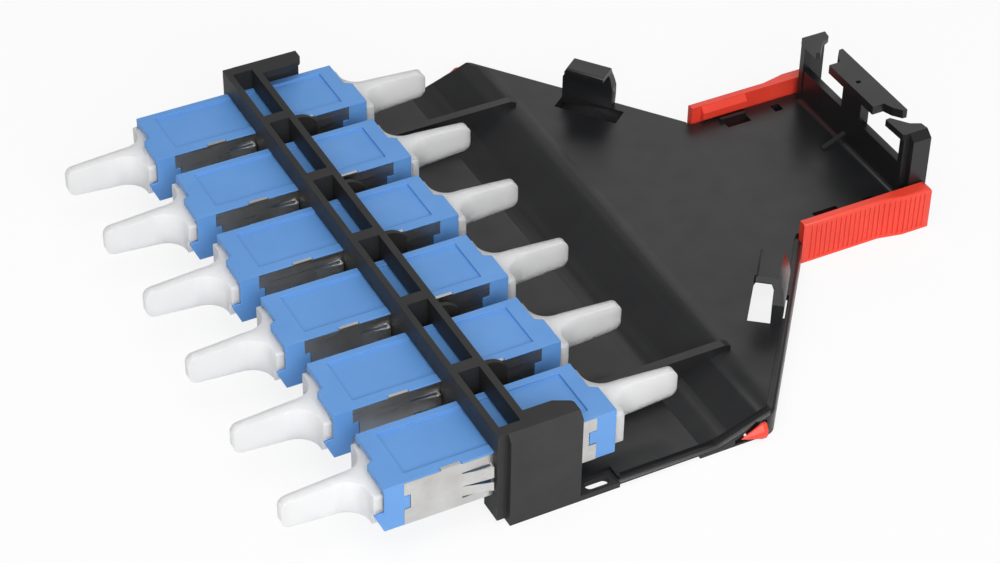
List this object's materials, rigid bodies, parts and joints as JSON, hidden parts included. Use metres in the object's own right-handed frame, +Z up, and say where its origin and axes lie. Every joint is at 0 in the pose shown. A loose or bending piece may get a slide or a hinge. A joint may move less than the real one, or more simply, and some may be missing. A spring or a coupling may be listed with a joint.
{
  "type": "fibre splice cassette with adapters",
  "caption": "Flat fibre cassette: a black tray with a panel bar of blue optical adapters, clear dust plugs, fibre hooks and red side latches.",
  "frame": {"origin": "centre of the bounding box's underside", "axes": "+X from the front dust plugs to the cable entry, +Y to the side away from the pictured near side, +Z up"},
  "size_m": [0.1336, 0.1102, 0.0183],
  "materials": {
    "tray_black": "fine satin",
    "holder_black": "coarse grained",
    "adapter_blue": "satin",
    "clip_steel": "rolled",
    "sleeve_ceramic": "ground",
    "plug_clear": "milky, lets light through",
    "latch_red": "satin"
  },
  "bodies": {
    "base": {"tray": "tray_black", "adapter_holder": "holder_black", "adapter_1_front_housing": "adapter_blue", "adapter_1_rear_housing": "adapter_blue", "adapter_1_spring_clip": "clip_steel", "adapter_1_sleeve": "sleeve_ceramic", "adapter_2_front_housing": "adapter_blue", "adapter_2_rear_housing": "adapter_blue", "adapter_2_spring_clip": "clip_steel", "adapter_2_sleeve": "sleeve_ceramic", "adapter_3_front_housing": "adapter_blue", "adapter_3_rear_housing": "adapter_blue", "adapter_3_spring_clip": "clip_steel", "adapter_3_sleeve": "sleeve_ceramic", "adapter_4_front_housing": "adapter_blue", "adapter_4_rear_housing": "adapter_blue", "adapter_4_spring_clip": "clip_steel", "adapter_4_sleeve": "sleeve_ceramic", "adapter_5_front_housing": "adapter_blue", "adapter_5_rear_housing": "adapter_blue", "adapter_5_spring_clip": "clip_steel", "adapter_5_sleeve": "sleeve_ceramic", "adapter_6_front_housing": "adapter_blue", "adapter_6_rear_housing": "adapter_blue", "adapter_6_spring_clip": "clip_steel", "adapter_6_sleeve": "sleeve_ceramic"},
    "latch_near_body": {"latch_near": "latch_red"},
    "latch_far_body": {"latch_far": "latch_red"},
    "plug_1_front": {"adapter_1_front_dust_plug": "plug_clear"},
    "plug_1_rear": {"adapter_1_rear_dust_plug": "plug_clear"},
    "plug_2_front": {"adapter_2_front_dust_plug": "plug_clear"},
    "plug_2_rear": {"adapter_2_rear_dust_plug": "plug_clear"},
    "plug_3_front": {"adapter_3_front_dust_plug": "plug_clear"},
    "plug_3_rear": {"adapter_3_rear_dust_plug": "plug_clear"},
    "plug_4_front": {"adapter_4_front_dust_plug": "plug_clear"},
    "plug_4_rear": {"adapter_4_rear_dust_plug": "plug_clear"},
    "plug_5_front": {"adapter_5_front_dust_plug": "plug_clear"},
    "plug_5_rear": {"adapter_5_rear_dust_plug": "plug_clear"},
    "plug_6_front": {"adapter_6_front_dust_plug": "plug_clear"},
    "plug_6_rear": {"adapter_6_rear_dust_plug": "plug_clear"}
  },
  "joints": [
    {"name": "plug_1_front_pull", "type": "slide", "parent": "base", "child": "plug_1_front", "axis": [-1, 0, 0], "range_m": [0, 0.015]},
    {"name": "plug_1_rear_pull", "type": "slide", "parent": "base", "child": "plug_1_rear", "axis": [1, 0, 0], "range_m": [0, 0.015]},
    {"name": "plug_2_front_pull", "type": "slide", "parent": "base", "child": "plug_2_front", "axis": [-1, 0, 0], "range_m": [0, 0.015]},
    {"name": "plug_2_rear_pull", "type": "slide", "parent": "base", "child": "plug_2_rear", "axis": [1, 0, 0], "range_m": [0, 0.015]},
    {"name": "plug_3_front_pull", "type": "slide", "parent": "base", "child": "plug_3_front", "axis": [-1, 0, 0], "range_m": [0, 0.015]},
    {"name": "plug_3_rear_pull", "type": "slide", "parent": "base", "child": "plug_3_rear", "axis": [1, 0, 0], "range_m": [0, 0.015]},
    {"name": "plug_4_front_pull", "type": "slide", "parent": "base", "child": "plug_4_front", "axis": [-1, 0, 0], "range_m": [0, 0.015]},
    {"name": "plug_4_rear_pull", "type": "slide", "parent": "base", "child": "plug_4_rear", "axis": [1, 0, 0], "range_m": [0, 0.015]},
    {"name": "plug_5_front_pull", "type": "slide", "parent": "base", "child": "plug_5_front", "axis": [-1, 0, 0], "range_m": [0, 0.015]},
    {"name": "plug_5_rear_pull", "type": "slide", "parent": "base", "child": "plug_5_rear", "axis": [1, 0, 0], "range_m": [0, 0.015]},
    {"name": "plug_6_front_pull", "type": "slide", "parent": "base", "child": "plug_6_front", "axis": [-1, 0, 0], "range_m": [0, 0.015]},
    {"name": "plug_6_rear_pull", "type": "slide", "parent": "base", "child": "plug_6_rear", "axis": [1, 0, 0], "range_m": [0, 0.015]},
    {"name": "latch_near_turn", "type": "hinge", "parent": "base", "child": "latch_near_body", "pos_m": [0.05416, -0.0153, 0.002], "axis": [0, 0, -1], "range_deg": [0, 0.8], "stiffness_Nm_per_rad": 0.5},
    {"name": "latch_far_turn", "type": "hinge", "parent": "base", "child": "latch_far_body", "pos_m": [0.05416, 0.0153, 0.002], "axis": [0, 0, 1], "range_deg": [0, 0.8], "stiffness_Nm_per_rad": 0.5}
  ]
}
